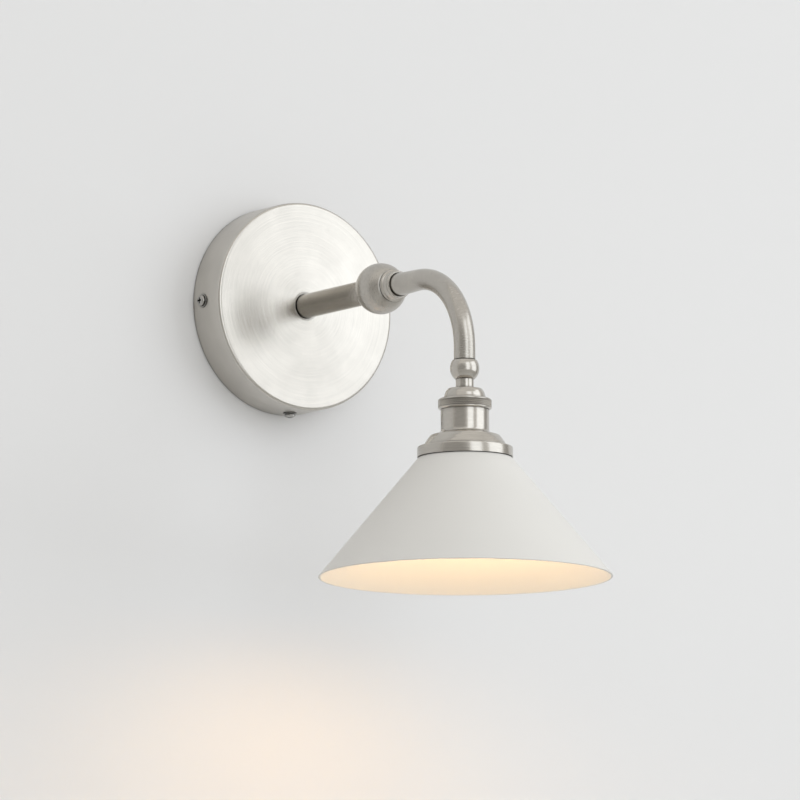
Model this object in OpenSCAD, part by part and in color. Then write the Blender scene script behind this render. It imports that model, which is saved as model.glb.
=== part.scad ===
// Wall lamp: round backplate, straight arm, ball swivel, swan-neck elbow and metal cone shade.
// The origin is the centre of the backplate's rear face, on the wall. +Z is up.
// The arm stands out from the wall along -Y, and +X is to the right of someone who faces the wall.

/* [Backplate] */
// Diameter of the round cover
plate_d = 120; // [112:1:150]
// Depth of the cover from the wall to its front face
plate_depth = 26; // [25:0.5:36]
// Sheet thickness of the cover
plate_wall = 1.2; // [0.8:0.1:2]
// Radius of the rounded front corner
plate_edge_r = 1.4; // [0.6:0.1:3]
// Height of the raised lip round the foot of the arm
lip_h = 0.5; // [0.3:0.1:1.5]
// Width of that lip
lip_w = 0.9; // [0.5:0.1:2]

/* [Cover screws] */
// Thread diameter of the side screws
cover_screw_d = 4; // [3:0.5:5]
// Distance of the side screws from the wall
cover_screw_back = 9.7; // [8:0.1:14]
// Diameter of the pan heads
cover_head_d = 6.4; // [6:0.1:9]
// Height of the pan heads
cover_head_h = 1.8; // [1.2:0.1:3]
// Diameter of the washers under the heads
cover_washer_d = 7.8; // [7:0.1:11]
// Thickness of those washers
cover_washer_t = 0.6; // [0.4:0.1:1.2]

/* [Wall bracket] */
// Sheet thickness of the bracket
bracket_t = 1.5; // [1:0.1:2.5]
// Width of the folded tabs that take the side screws
tab_w = 14; // [10:1:20]
// Distance between the two wall slots
slot_spacing = 80; // [76:1:84]
// Width of a wall slot
slot_w = 5.2; // [4:0.1:6]
// Length of a wall slot from end to end
slot_len = 14; // [10:1:18]
// Diameter of the cable hole
cable_hole_d = 14; // [11:1:18]
// Height of the cable hole above the centre
cable_hole_z = 30; // [26:1:36]
// Clear diameter through the grommet
grommet_bore_d = 9; // [7:0.5:9.5]

/* [Terminal block] */
// Distance between two ways of the block
way_pitch = 8; // [7.5:0.5:10]
// Length of the block along the wires
block_len = 18; // [18:1:24]
// Height of the block above the bracket
block_h = 13; // [12:0.5:15]
// Distance of the block's upper face below the centre
block_drop = 18; // [17:0.5:22]

/* [Arm] */
// Outer diameter of the straight arm
arm_d = 14; // [13.5:0.5:15]
// Wall of the arm tube
arm_wall = 1; // [0.8:0.1:1.2]
// Diameter of the hollow threaded nipples
nipple_d = 10; // [9:0.5:10]
// Clear bore of the nipples and of the swivel stud
wire_bore_d = 6.6; // [6:0.1:7]
// Outer diameter of the two-core flex
flex_d = 5; // [4.6:0.1:5.4]
// Diameter of one insulated core
core_d = 1.8; // [1.4:0.1:2]

/* [Ball swivel] */
// Diameter of the large ball
ball_d = 29; // [28:0.5:34]
// Distance of the ball's centre from the wall
ball_out = 101; // [70:1:115]
// Distance from the ball's centre to its flat front face
ball_flat = 11.2; // [10.8:0.1:11.6]
// Depth of the arm's socket, from the ball's centre back to the tube's end
ball_seat = 5; // [3:0.5:6]
// Diameter of the collar's rear flange
collar_d = 18; // [17.4:0.2:18.4]
// Diameter of the bead at the collar's front
bead_d = 15.8; // [15.2:0.2:17]
// Length of the collar
collar_len = 6.9; // [6.5:0.1:9]
// Diameter of the stop pin
stop_pin_d = 1.6; // [1.2:0.1:1.8]
// Half of the total turn that the stop allows, in degrees
swivel_half_turn = 165; // [120:5:165]

/* [Elbow] */
// Distance of the shade's axis from the wall
reach = 182; // [175:1:230]
// Diameter of the elbow tube
elbow_d = 12; // [11.6:0.2:12.6]
// Diameter of the elbow at its root, in the collar
elbow_root_d = 13; // [12.8:0.1:13.6]
// Radius of the bend on the tube's centre line
bend_r = 44; // [36:1:50]
// Straight length below the bend
elbow_tail = 6.7; // [5:0.1:20]
// Diameter of the small turned ball
neck_ball_d = 16.4; // [15:0.2:20]
// Visible length of the neck between the small ball and the cap
neck_len = 5.2; // [3:0.1:12]

/* [Lampholder] */
// Diameter of the flat top of the domed cap
cap_top_d = 18; // [16:0.5:20]
// Diameter of the foot of the domed cap
cap_d = 24.3; // [23:0.1:25]
// Height of the dome above the knurled ring
cap_h = 5.8; // [5:0.1:9]
// Wall of the domed cap
cap_wall = 1.1; // [0.8:0.1:1.4]
// Outer diameter of the knurled ring
knurl_d = 29.9; // [29:0.1:34]
// Height of the knurled ring
knurl_h = 6; // [5:0.1:9]
// Outer diameter of the holder's metal shell
shell_d = 27; // [27:0.1:28]
// Visible length of the shell below the knurled ring
shell_len = 13.2; // [12:0.1:24]
// Outer diameter of the threaded skirt
skirt_d = 25.8; // [25.6:0.1:26]
// Wall of the threaded skirt
skirt_wall = 0.8; // [0.6:0.1:1]
// Length of the skirt below the shade's top plate
skirt_drop = 9.6; // [9.6:0.1:14]

/* [Gallery and shade] */
// Sheet thickness of the gallery
gallery_t = 1.2; // [0.8:0.1:1.5]
// Diameter of the gallery's flat top
gallery_top_d = 38; // [37:0.5:42]
// Diameter of the foot of the gallery's upper tier
gallery_tier_d = 47.4; // [45:0.5:50]
// Height of the gallery's upper tier
gallery_tier_h = 7.7; // [6:0.1:12]
// Diameter of the gallery's lower flange
gallery_flange_d = 53.4; // [53:0.2:60]
// Height of that flange
gallery_flange_h = 5.9; // [4:0.1:9]
// Diameter of the shade at its top
shade_top_d = 52; // [50:0.5:52.6]
// Diameter of the shade at its rim
shade_d = 164; // [140:1:200]
// Height of the shade
shade_h = 67; // [64:1:90]
// Sheet thickness of the shade
shade_t = 1; // [0.7:0.1:1.5]
// Thread pitch of the shade ring
ring_pitch = 2; // [1.5:0.1:2.5]
// Height of the shade ring
ring_h = 5; // [4:0.1:5]

/* [Bulb] */
// Diameter of the glass globe
bulb_d = 45; // [42:0.5:46]
// Length of the bulb from its contact to the end of the globe
bulb_len = 76; // [74:0.5:80]
// Diameter of the bulb's screw cap
bulb_cap_d = 13.9; // [13.7:0.1:14]
// Diameter of the glass neck
bulb_neck_d = 17; // [15:0.5:18]
// Wall of the glass
glass_t = 0.8; // [0.5:0.1:1.2]

/* [Hidden] */
$fn = 96;

// Overshoot of cutting bodies
cut = 1;
// Radial clearance of a thread or a running fit
fit = 0.05;
// Gap between two faces that move past each other
face_gap = 0.12;
// Overlap that joins two lengths of bent wire
joint_swell = 0.1;

nickel = [0.70, 0.68, 0.65];
steel = [0.72, 0.73, 0.74];
brass = [0.80, 0.66, 0.36];

// Backplate and bracket, as radii from the arm's axis and distances u from the wall
plate_r = plate_d / 2;
plate_in_r = plate_r - plate_wall;
plate_in_u = plate_depth - plate_wall;
arm_hole_gap = 0.15;
lip_gap = 0.1;
cover_screw_gap = 0.2;
tab_gap = 0.3;
tab_out_r = plate_in_r - tab_gap;
tab_in_r = tab_out_r - bracket_t;
tab_end_margin = 6;
tab_end_u = cover_screw_back + tab_end_margin;
screw_angles = [0, 180, 270];
cover_screw_end = 4;
cover_head_taper = 1;
recess_w = 0.9;
recess_len = 3.6;
recess_depth = 1;
grommet_flange_w = 2;
grommet_flange_t = 1.5;
grommet_lift = 0.2;

// Terminal block: way centre lines run along Z at distance way_u from the wall
way_u = 8;
block_x = way_pitch / 2;
block_cheek = 1;
block_w = 3 * way_pitch + 2 * block_cheek;
way_x = [for (i = [-1:1]) block_x + i * way_pitch];
block_mid_z = -block_drop - block_len / 2;
sleeve_d = 4.2;
sleeve_bore_d = 2.6;
sleeve_end = 1;
tower_d = 5.4;
tower_h = 2;
grub_d = 2.8;
grub_inset = 4.5;
grub_z = [-block_drop - grub_inset, -block_drop - block_len + grub_inset];
block_screw_d = 3;
block_head_d = 5;
block_head_h = 1.8;
block_screw_x = [block_x - way_pitch / 2, block_x + way_pitch / 2];
screw_tip_u = 0.1;
grub_slot_w = 0.5;
block_slot_w = 0.6;
small_slot_depth = 0.8;
grub_sink = 1;

// Earth point, to the right of the block
earth_aside = 12.5;
earth_above = 8;
earth_x = way_x[2] + earth_aside;
earth_z = earth_above - block_drop;
earth_screw_d = 4;
earth_head_d = 7;
earth_head_h = 2.2;
earth_slot_w = 0.8;
earth_slot_depth = 1;
earth_tag_d = 8;
earth_tag_t = 0.8;
barrel_d = 3;
barrel_len = 3;
earth_lead_gap = 0.5;
barrel_x = earth_x - earth_tag_d / 2 - barrel_len;
barrel_sink = 0.1;
barrel_u = bracket_t + earth_tag_t + barrel_d / 2 - barrel_sink;

// Arm
arm_r = arm_d / 2;
arm_in_r = arm_r - arm_wall;
nipple_r = nipple_d / 2;
thread_r = nipple_r + fit;
arm_hole_r = thread_r + arm_hole_gap;
wire_r = wire_bore_d / 2;
insert_len = 12;
nut_af = 14;
nut_h = 3;
star_t = 1;
star_d = 18;
star_teeth = 12;
star_notch_d = 1.6;
nipple_tail = 1;
nipple_short = 2;
nipple_back_u = plate_in_u - star_t - nut_h - nipple_tail;
nipple_front_u = plate_depth + insert_len - nipple_short;
flex_clear = 2;
flex_bend_r = nipple_back_u - flex_clear - way_u;
flex_stub = 3;
flex_low_z = -flex_bend_r - flex_stub;
core_x = 1.2;
core_straight = 1;
core_gap = 0.1;
core_above = 0.8;

// Ball swivel
ball_r = ball_d / 2;
seat_u = ball_out - ball_seat;
flat_u = ball_out + ball_flat;
chamber_step = 0.6;
chamber_r = arm_in_r + chamber_step;
chamber_wall = 4.6;
chamber_front_u = flat_u - chamber_wall;
stud_head_gap = 0.3;
stud_head_r = chamber_r - stud_head_gap;
stud_head_t = 3;
spring_t = 1.4;
stud_head_u = chamber_front_u - face_gap - spring_t - stud_head_t;
collar_u = flat_u + face_gap;
collar_end_u = collar_u + collar_len;
collar_bore_len = 2.9;
elbow_root_u = collar_u + collar_bore_len;
stud_end_u = collar_end_u;
stop_r = 7.2;
stop_groove_w = stop_pin_d + 0.3;
stop_groove_depth = 1.5;
stop_pin_proud = 1.3;
stop_pin_hold = 3;
stop_pin_angle = asin(stop_pin_d / 2 / stop_r);
stop_margin = 0.6;
land_half = 180 - swivel_half_turn - stop_pin_angle - stop_margin;
flex_joint_u = stud_head_u - 1;

// Elbow and neck, as heights z on the shade's axis
elbow_r = elbow_d / 2;
elbow_root_r = elbow_root_d / 2;
bend_u = reach - bend_r;
elbow_end_z = -bend_r - elbow_tail;
neck_ball_r = neck_ball_d / 2;
ball_top_step = 0.4;
ball_low_step = 0.3;
ball_top_r = elbow_r + ball_top_step;
ball_low_r = nipple_r + ball_low_step;
neck_ball_z = elbow_end_z - sqrt(pow(neck_ball_r, 2) - pow(ball_top_r, 2));
neck_top_z = neck_ball_z - sqrt(pow(neck_ball_r, 2) - pow(ball_low_r, 2));
cap_top_z = neck_top_z - neck_len;
cap_boss_wall = 2;
cap_boss_r = nipple_r + cap_boss_wall;
cap_boss_h = 4;
nipple_low_z = cap_top_z - cap_boss_h;
nipple_grip = 7;
nipple_top_gap = 0.5;
nipple_top_z = elbow_end_z + min(elbow_tail - nipple_top_gap, nipple_grip);
flex_end_gap = 0.5;
flex_end_z = nipple_low_z - flex_end_gap;

// Lampholder
ring_top_z = cap_top_z - cap_h;
ring_low_z = ring_top_z - knurl_h;
ring_lip_t = 0.95;
ring_chamfer = 0.7;
knurl_depth = 0.3;
knurl_margin = 1.1;
cap_r = cap_d / 2;
cap_flange_t = 1;
cap_flange_z = ring_top_z - ring_lip_t - face_gap;
shell_top_z = cap_flange_z - cap_flange_t;
shell_r = shell_d / 2;
cap_flange_gap = 0.2;
cap_flange_r = shell_r - cap_flange_gap;
shell_foot_z = ring_low_z - shell_len;
shell_foot_w = 1.2;
shell_foot_r = shell_r + shell_foot_w;
foot_edge = 0.25;
skirt_r = skirt_d / 2;
skirt_in_r = skirt_r - skirt_wall;
rim_seat_h = 1.5;
rim_seat_step = 0.6;
rim_seat_r = skirt_in_r + rim_seat_step;
insulator_gap = 0.1;
insulator_r = skirt_in_r - insulator_gap;
insulator_wall = 1.6;
base_drop = 5.2;
base_top_z = shell_top_z - base_drop;
base_t = 4;
base_low_z = base_top_z - base_t;

// Gallery and shade
gallery_hole_r = skirt_r + fit;
tier_low_z = shell_foot_z - gallery_tier_h;
flange_low_z = tier_low_z - gallery_flange_h;
flange_edge = 0.6;
tier_sag = 0.5;
shade_top_z = flange_low_z - face_gap;
shade_plate_z = shade_top_z - shade_t;
shade_top_r = shade_top_d / 2;
shade_r = shade_d / 2;
shade_rim_z = shade_top_z - shade_h;
shade_slope = atan((shade_r - shade_top_r) / shade_h);
shade_side = shade_t / cos(shade_slope);
shade_hole_gap = 0.3;
shade_hole_r = skirt_r + shade_hole_gap;
shade_corner = 1.2;
skirt_low_z = shade_plate_z - skirt_drop;
ring_hub_w = 2.6;
ring_flange_w = 2.5;
ring_hub_r = skirt_r + ring_hub_w;
ring_flange_r = ring_hub_r + ring_flange_w;
ring_flange_t = 2;
ring_notches = 6;
ring_notch_d = 3;
nut_ring_t = 3;
shade_ring_z = shade_plate_z - face_gap;

// Bulb and contacts
contact_strip_t = 0.6;
contact_tip_t = 0.9;
contact_tip_r = 2.5;
contact_tip_z = base_low_z - contact_strip_t - contact_tip_t;
post_r = 2;
post_x = 5.6;
post_bore_r = 1.25;
post_proud = 1;
contact_screw_r = 1.2;
contact_head_r = 2.2;
contact_head_h = 1.6;
bulb_top_z = contact_tip_z - face_gap;
bulb_end_z = bulb_top_z - bulb_len;
pip_r = 2.2;
pip_h = 1.4;
glass_plug_h = 2.8;
bulb_cap_r = bulb_cap_d / 2;
bulb_cap_wall = 0.5;
bulb_cap_top_z = bulb_top_z - pip_h - glass_plug_h;
bulb_cap_h = 21.3;
bulb_cap_low_z = bulb_cap_top_z - bulb_cap_h;
shell_wall = 0.4;
shell_fit = 0.08;
screw_shell_r = bulb_cap_r + shell_fit;
shell_drop = 1.8;
shell_short = 4;
insulator_short = 1.5;
screw_shell_top_z = base_low_z - shell_drop;
screw_shell_low_z = bulb_cap_low_z + shell_short;
insulator_low_z = bulb_cap_low_z + insulator_short;
insulator_in_r = screw_shell_r + shell_wall + insulator_gap;
globe_r = bulb_d / 2;
globe_z = bulb_end_z + globe_r;
neck_angle = 50;
neck_straight = 2;
neck_sag = 0.4;
glass_hole_r = 3;

// Points on a circular arc from a to b that bulges by sag to the left of the way from a to b,
// or to the right where sag is negative
function arc_between(a, b, sag, n = 8) =
    let (half = norm(b - a) / 2)
    let (r = (half * half + sag * sag) / (2 * sag))
    let (along = (b - a) / (2 * half))
    let (left = [-along[1], along[0]])
    let (centre = (a + b) / 2 + left * (sag - r))
    let (start = atan2(a[1] - centre[1], a[0] - centre[0]))
    let (sweep = -2 * asin(half / r))
    [for (i = [0:n]) centre + abs(r) * [cos(start + sweep * i / n), sin(start + sweep * i / n)]];

// Points on a quarter ellipse from [x0 + a, z0] up to [x0, z0 + b]
function quarter_ellipse(x0, z0, a, b, n = 8) =
    [for (i = [0:n]) [x0 + a * cos(90 * i / n), z0 + b * sin(90 * i / n)]];

// Points of a rounded corner of radius r about centre c, from angle a0 to a1
function corner(c, r, a0, a1, n = 6) =
    [for (i = [0:n]) c + r * [cos(a0 + (a1 - a0) * i / n), sin(a0 + (a1 - a0) * i / n)]];

// Children are drawn with +Z pointing away from the wall, at distance u from it
module along_arm(u = 0) translate([0, -u, 0]) rotate([90, 0, 0]) children();

// Children are drawn on the shade's axis, at height z
module on_drop(z = 0) translate([0, -reach, z]) children();

// A plain tube that stands on z = 0
module tube(r_out, r_in, h) {
    difference() {
        cylinder(r = r_out, h = h);
        translate([0, 0, -cut]) cylinder(r = r_in, h = h + 2 * cut);
    }
}

// A straight round bar from point a to point b
module bar(a, b, r) {
    d = b - a;
    tilt = acos(d[2] / norm(d));
    turn = atan2(d[1], d[0]);
    translate(a) rotate([0, tilt, turn]) cylinder(r = r, h = norm(d));
}

// An insulated wire through a short list of points
module wire(points, d) {
    for (i = [0:len(points) - 2]) bar(points[i], points[i + 1], d / 2);
    for (i = [1:len(points) - 2]) translate(points[i]) sphere(r = d / 2 + joint_swell);
}

// The screws of the cover, at their angles round the backplate, with +X pointing outwards
module each_cover_screw() {
    for (a = screw_angles) along_arm(cover_screw_back) rotate([0, 0, a]) children();
}

// A slot of full length l and width w that cuts through the bracket
module slot_cut(l, w) {
    h = bracket_t + 2 * cut;
    for (s = [-1, 1]) translate([s * (l - w) / 2, 0, -cut]) cylinder(d = w, h = h);
    translate([-(l - w) / 2, -w / 2, -cut]) cube([l - w, w, h]);
}

// A straight driver slot of width w and the given depth in a head of diameter d whose top is at z = 0
module screw_slot(d, w, depth) {
    translate([-d / 2 - cut, -w / 2, -depth]) cube([d + 2 * cut, w, depth + cut]);
}

module wall_bracket() {
    color(steel) difference() {
        union() {
            along_arm() cylinder(r = tab_out_r, h = bracket_t);
            for (a = screw_angles) along_arm() rotate([0, 0, a]) intersection() {
                tube(tab_out_r, tab_in_r, tab_end_u);
                translate([0, -tab_w / 2, 0]) cube([plate_r, tab_w, tab_end_u]);
            }
        }
        each_cover_screw() translate([tab_in_r - 2, 0, 0]) rotate([0, 90, 0])
            cylinder(d = cover_screw_d + 2 * fit, h = bracket_t + 4);
        for (s = [-1, 1]) along_arm() translate([s * slot_spacing / 2, 0, 0]) slot_cut(slot_len, slot_w);
        along_arm(-cut) translate([0, cable_hole_z, 0]) cylinder(d = cable_hole_d, h = bracket_t + 2 * cut);
        along_arm(-cut) translate([earth_x, earth_z, 0])
            cylinder(d = earth_screw_d + 2 * fit, h = bracket_t + 2 * cut);
        for (x = block_screw_x) along_arm(-cut) translate([x, block_mid_z, 0])
            cylinder(d = block_screw_d + 2 * fit, h = bracket_t + 2 * cut);
    }
}

module cable_grommet() {
    color("dimgray") along_arm() translate([0, cable_hole_z, 0]) difference() {
        union() {
            translate([0, 0, grommet_lift]) cylinder(d = cable_hole_d - 2 * fit, h = bracket_t);
            translate([0, 0, bracket_t]) cylinder(d = cable_hole_d + 2 * grommet_flange_w, h = grommet_flange_t);
        }
        translate([0, 0, -cut]) cylinder(d = grommet_bore_d, h = bracket_t + grommet_flange_t + 2 * cut);
    }
}

module backplate_cover() {
    profile = concat(
        [[plate_r, 0]],
        corner([plate_r - plate_edge_r, plate_depth - plate_edge_r], plate_edge_r, 0, 90),
        [[arm_hole_r, plate_depth], [arm_hole_r, plate_in_u], [plate_in_r, plate_in_u], [plate_in_r, 0]]);
    color(nickel) difference() {
        union() {
            along_arm() rotate_extrude() polygon(profile);
            along_arm(plate_depth) tube(arm_r + lip_gap + lip_w, arm_r + lip_gap, lip_h);
        }
        each_cover_screw() translate([plate_in_r - cut, 0, 0]) rotate([0, 90, 0])
            cylinder(d = cover_screw_d + 2 * cover_screw_gap, h = plate_wall + 2 * cut);
    }
}

module cover_screws() {
    face = plate_r + cover_washer_t;
    tip = tab_in_r - cover_screw_end;
    color(steel) each_cover_screw() difference() {
        union() {
            translate([tip, 0, 0]) rotate([0, 90, 0]) cylinder(d = cover_screw_d, h = face - tip);
            translate([face, 0, 0]) rotate([0, 90, 0])
                cylinder(d1 = cover_head_d, d2 = cover_head_d - cover_head_taper, h = cover_head_h);
        }
        for (turn = [0, 90]) rotate([turn, 0, 0])
            translate([face + cover_head_h - recess_depth, -recess_len / 2, -recess_w / 2])
                cube([recess_depth + cut, recess_len, recess_w]);
    }
}

module cover_washers() {
    color(steel) each_cover_screw() translate([plate_r, 0, 0]) rotate([0, 90, 0])
        tube(cover_washer_d / 2, cover_screw_d / 2 + fit, cover_washer_t);
}

module terminal_block() {
    color("ivory") along_arm(bracket_t) difference() {
        union() {
            translate([block_x - block_w / 2, -block_drop - block_len, 0]) cube([block_w, block_len, block_h]);
            for (x = way_x) for (z = grub_z) translate([x, z, block_h]) cylinder(d = tower_d, h = tower_h);
        }
        for (x = way_x) translate([x, -block_drop + cut, way_u - bracket_t]) rotate([90, 0, 0])
            cylinder(d = sleeve_d + 2 * fit, h = block_len + 2 * cut);
        for (x = way_x) for (z = grub_z) translate([x, z, way_u - bracket_t])
            cylinder(d = grub_d + 4 * fit, h = block_h + tower_h);
        for (x = block_screw_x) translate([x, block_mid_z, -cut])
            cylinder(d = block_screw_d + 2 * fit, h = block_h + 2 * cut);
        for (x = block_screw_x) translate([x, block_mid_z, block_h - block_head_h])
            cylinder(d = block_head_d + 4 * fit, h = block_head_h + cut);
    }
}

module terminal_sleeves() {
    color(brass) for (x = way_x) difference() {
        translate([x, -way_u, -block_drop - block_len + sleeve_end])
            tube(sleeve_d / 2, sleeve_bore_d / 2, block_len - 2 * sleeve_end);
        for (z = grub_z) along_arm(way_u) translate([x, z, 0]) cylinder(d = grub_d + 2 * fit, h = sleeve_d);
    }
}

module terminal_screws() {
    tip_u = way_u + core_d / 2 + fit;
    head_u = bracket_t + block_h + tower_h - grub_sink;
    color(steel) for (x = way_x) for (z = grub_z) along_arm(tip_u) translate([x, z, 0]) difference() {
        cylinder(d = grub_d, h = head_u - tip_u);
        translate([0, 0, head_u - tip_u]) screw_slot(grub_d, grub_slot_w, small_slot_depth);
    }
}

module block_screws() {
    head_u = bracket_t + block_h;
    shank = head_u - block_head_h - screw_tip_u;
    color(steel) for (x = block_screw_x) along_arm(screw_tip_u) translate([x, block_mid_z, 0]) difference() {
        union() {
            cylinder(d = block_screw_d, h = shank);
            translate([0, 0, shank]) cylinder(d = block_head_d, h = block_head_h);
        }
        translate([0, 0, shank + block_head_h]) screw_slot(block_head_d, block_slot_w, small_slot_depth);
    }
}

module earth_screw() {
    head_u = bracket_t + earth_tag_t;
    color(brass) along_arm(screw_tip_u) translate([earth_x, earth_z, 0]) difference() {
        union() {
            cylinder(d = earth_screw_d, h = head_u - screw_tip_u);
            translate([0, 0, head_u - screw_tip_u]) cylinder(d = earth_head_d, h = earth_head_h);
        }
        translate([0, 0, head_u - screw_tip_u + earth_head_h])
            screw_slot(earth_head_d, earth_slot_w, earth_slot_depth);
    }
}

module earth_tag() {
    color(brass) difference() {
        union() {
            along_arm(bracket_t) translate([earth_x, earth_z, 0]) cylinder(d = earth_tag_d, h = earth_tag_t);
            along_arm(bracket_t) translate([barrel_x, earth_z - barrel_d / 2, 0])
                cube([earth_x - barrel_x, barrel_d, earth_tag_t]);
            translate([barrel_x, -barrel_u, earth_z]) rotate([0, 90, 0]) cylinder(d = barrel_d, h = barrel_len);
        }
        along_arm(bracket_t - cut) translate([earth_x, earth_z, 0])
            cylinder(d = earth_screw_d + 2 * fit, h = earth_tag_t + 2 * cut);
        translate([barrel_x - cut, -barrel_u, earth_z]) rotate([0, 90, 0])
            cylinder(d = core_d + 2 * fit, h = barrel_len + 2 * cut);
    }
}

module earth_lead() {
    x = way_x[2];
    color("limegreen") wire([
        [x, -way_u, -block_drop - grub_inset],
        [x, -way_u, earth_z],
        [barrel_x - core_straight, -barrel_u, earth_z],
        [barrel_x + barrel_len - earth_lead_gap, -barrel_u, earth_z]], core_d);
}

module arm_tube() {
    color(nickel) along_arm(plate_depth) tube(arm_r, arm_in_r, seat_u - plate_depth);
}

module arm_insert() {
    color(brass) along_arm(plate_depth) tube(arm_in_r - fit, thread_r, insert_len);
}

module arm_nipple() {
    color(brass) along_arm(nipple_back_u) tube(nipple_r, wire_r, nipple_front_u - nipple_back_u);
}

module star_washer() {
    color(steel) along_arm(plate_in_u - star_t) difference() {
        tube(star_d / 2, thread_r, star_t);
        for (i = [0:star_teeth - 1]) rotate([0, 0, i * 360 / star_teeth])
            translate([star_d / 2, 0, -cut]) cylinder(d = star_notch_d, h = star_t + 2 * cut);
    }
}

module arm_nut() {
    color(brass) along_arm(plate_in_u - star_t - nut_h) difference() {
        cylinder(d = nut_af / cos(30), h = nut_h, $fn = 6);
        translate([0, 0, -cut]) cylinder(r = thread_r, h = nut_h + 2 * cut);
    }
}

module arm_flex() {
    bend_end_u = way_u + flex_bend_r;
    color("gray") union() {
        translate([0, -way_u, flex_low_z]) cylinder(d = flex_d, h = flex_stub);
        translate([0, -bend_end_u, -flex_bend_r]) rotate([90, 0, 90])
            rotate_extrude(angle = 90) translate([flex_bend_r, 0]) circle(d = flex_d);
        along_arm(bend_end_u) cylinder(d = flex_d, h = flex_joint_u - bend_end_u);
    }
}

// A core from the flex's end to the block, on the side given by s
module core_base(s, x) {
    wire([
        [s * core_x, -way_u, flex_low_z],
        [s * core_x, -way_u, flex_low_z - core_straight],
        [x, -way_u, -block_drop + core_straight],
        [x, -way_u, -block_drop - grub_inset]], core_d);
}

module live_core_base() {
    color("saddlebrown") core_base(-1, way_x[0]);
}

module neutral_core_base() {
    color("royalblue") core_base(1, way_x[1]);
}

module pivot_ball() {
    color(nickel) along_arm(ball_out) difference() {
        sphere(r = ball_r);
        translate([0, 0, ball_flat]) cylinder(r = ball_r + cut, h = ball_r);
        translate([0, 0, -ball_seat - ball_r]) cylinder(r = arm_r + fit, h = ball_r);
        translate([0, 0, -ball_seat - cut]) cylinder(r = chamber_r, h = chamber_front_u - seat_u + cut);
        cylinder(r = thread_r, h = ball_r);
        translate([0, stop_r, ball_flat - stop_pin_hold])
            cylinder(d = stop_pin_d + 2 * fit, h = stop_pin_hold + cut);
    }
}

module stop_pin() {
    color(steel) along_arm(flat_u - stop_pin_hold) translate([0, stop_r, 0])
        cylinder(d = stop_pin_d, h = stop_pin_hold + stop_pin_proud);
}

module swivel_stud() {
    color(brass) along_arm(stud_head_u) difference() {
        union() {
            cylinder(r = stud_head_r, h = stud_head_t);
            cylinder(r = nipple_r, h = stud_end_u - stud_head_u);
        }
        translate([0, 0, -cut]) cylinder(r = wire_r, h = stud_end_u - stud_head_u + 2 * cut);
    }
}

module friction_washer() {
    color(steel) along_arm(stud_head_u + stud_head_t) tube(stud_head_r, thread_r, spring_t);
}

module swivel_collar() {
    flange_r = collar_d / 2;
    flange_t = 1.7;
    edge = 0.3;
    bead_r = bead_d / 2;
    bead_t = 2;
    cove_r = bead_r - 0.5;
    cove_sag = 0.4;
    profile = concat(
        [[thread_r, 0], [flange_r - edge, 0], [flange_r, edge], [flange_r, flange_t - edge],
            [flange_r - edge, flange_t]],
        arc_between([flange_r - 2 * edge, flange_t], [cove_r, collar_len - bead_t - 1], cove_sag),
        [[cove_r, collar_len - bead_t], [bead_r - 0.2, collar_len - bead_t + edge],
            [bead_r, collar_len - bead_t + 0.7], [bead_r, collar_len - 0.5], [bead_r - 0.4, collar_len],
            [elbow_root_r + fit, collar_len], [elbow_root_r + fit, collar_bore_len], [thread_r, collar_bore_len]]);
    color(nickel) along_arm(collar_u) difference() {
        rotate_extrude() polygon(profile);
        rotate([0, 0, -90 + land_half]) rotate_extrude(angle = 360 - 2 * land_half)
            translate([stop_r - stop_groove_w / 2, -cut]) square([stop_groove_w, stop_groove_depth + cut]);
    }
}

// A quarter bend of a round bar of radius r, from the arm's direction down to the vertical
module bend(r) {
    translate([0, -bend_u, -bend_r]) rotate([90, 0, -90])
        rotate_extrude(angle = 90) translate([bend_r, 0]) circle(r = r);
}

module elbow_tube() {
    color(nickel) union() {
        along_arm(elbow_root_u) tube(elbow_root_r, thread_r, collar_end_u - elbow_root_u);
        along_arm(collar_end_u) difference() {
            cylinder(r1 = elbow_root_r, r2 = elbow_r, h = bend_u - collar_end_u);
            translate([0, 0, -cut]) cylinder(r = thread_r, h = bend_u - collar_end_u + 2 * cut);
        }
        difference() {
            bend(elbow_r);
            bend(thread_r);
        }
        on_drop(elbow_end_z) tube(elbow_r, thread_r, elbow_tail);
    }
}

module elbow_flex() {
    color("gray") union() {
        along_arm(flex_joint_u + face_gap) cylinder(d = flex_d, h = bend_u - flex_joint_u - face_gap);
        bend(flex_d / 2);
        on_drop(flex_end_z) cylinder(d = flex_d, h = -bend_r - flex_end_z);
    }
}

module neck_ball() {
    color(nickel) on_drop() difference() {
        translate([0, 0, neck_ball_z]) sphere(r = neck_ball_r);
        translate([0, 0, elbow_end_z]) cylinder(r = neck_ball_r, h = neck_ball_r);
        translate([0, 0, neck_top_z - neck_ball_r]) cylinder(r = neck_ball_r, h = neck_ball_r);
        translate([0, 0, neck_top_z - cut]) cylinder(r = thread_r, h = neck_ball_d);
    }
}

module neck_nipple() {
    color(nickel) on_drop(nipple_low_z) tube(nipple_r, wire_r, nipple_top_z - nipple_low_z);
}

module holder_cap() {
    dome_a = cap_r - cap_top_d / 2;
    outer = quarter_ellipse(cap_top_d / 2, ring_top_z, dome_a, cap_h);
    inner = quarter_ellipse(cap_top_d / 2 - cap_wall, ring_top_z, dome_a, cap_h - cap_wall);
    profile = concat(
        [[cap_r - cap_wall, shell_top_z], [cap_flange_r, shell_top_z], [cap_flange_r, cap_flange_z],
            [cap_r, cap_flange_z]],
        outer,
        [[thread_r, cap_top_z], [thread_r, cap_top_z - cap_boss_h], [cap_boss_r, cap_top_z - cap_boss_h],
            [cap_boss_r, cap_top_z - cap_wall]],
        [for (i = [len(inner) - 1:-1:0]) inner[i]]);
    color(nickel) on_drop() rotate_extrude() polygon(profile);
}

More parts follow.
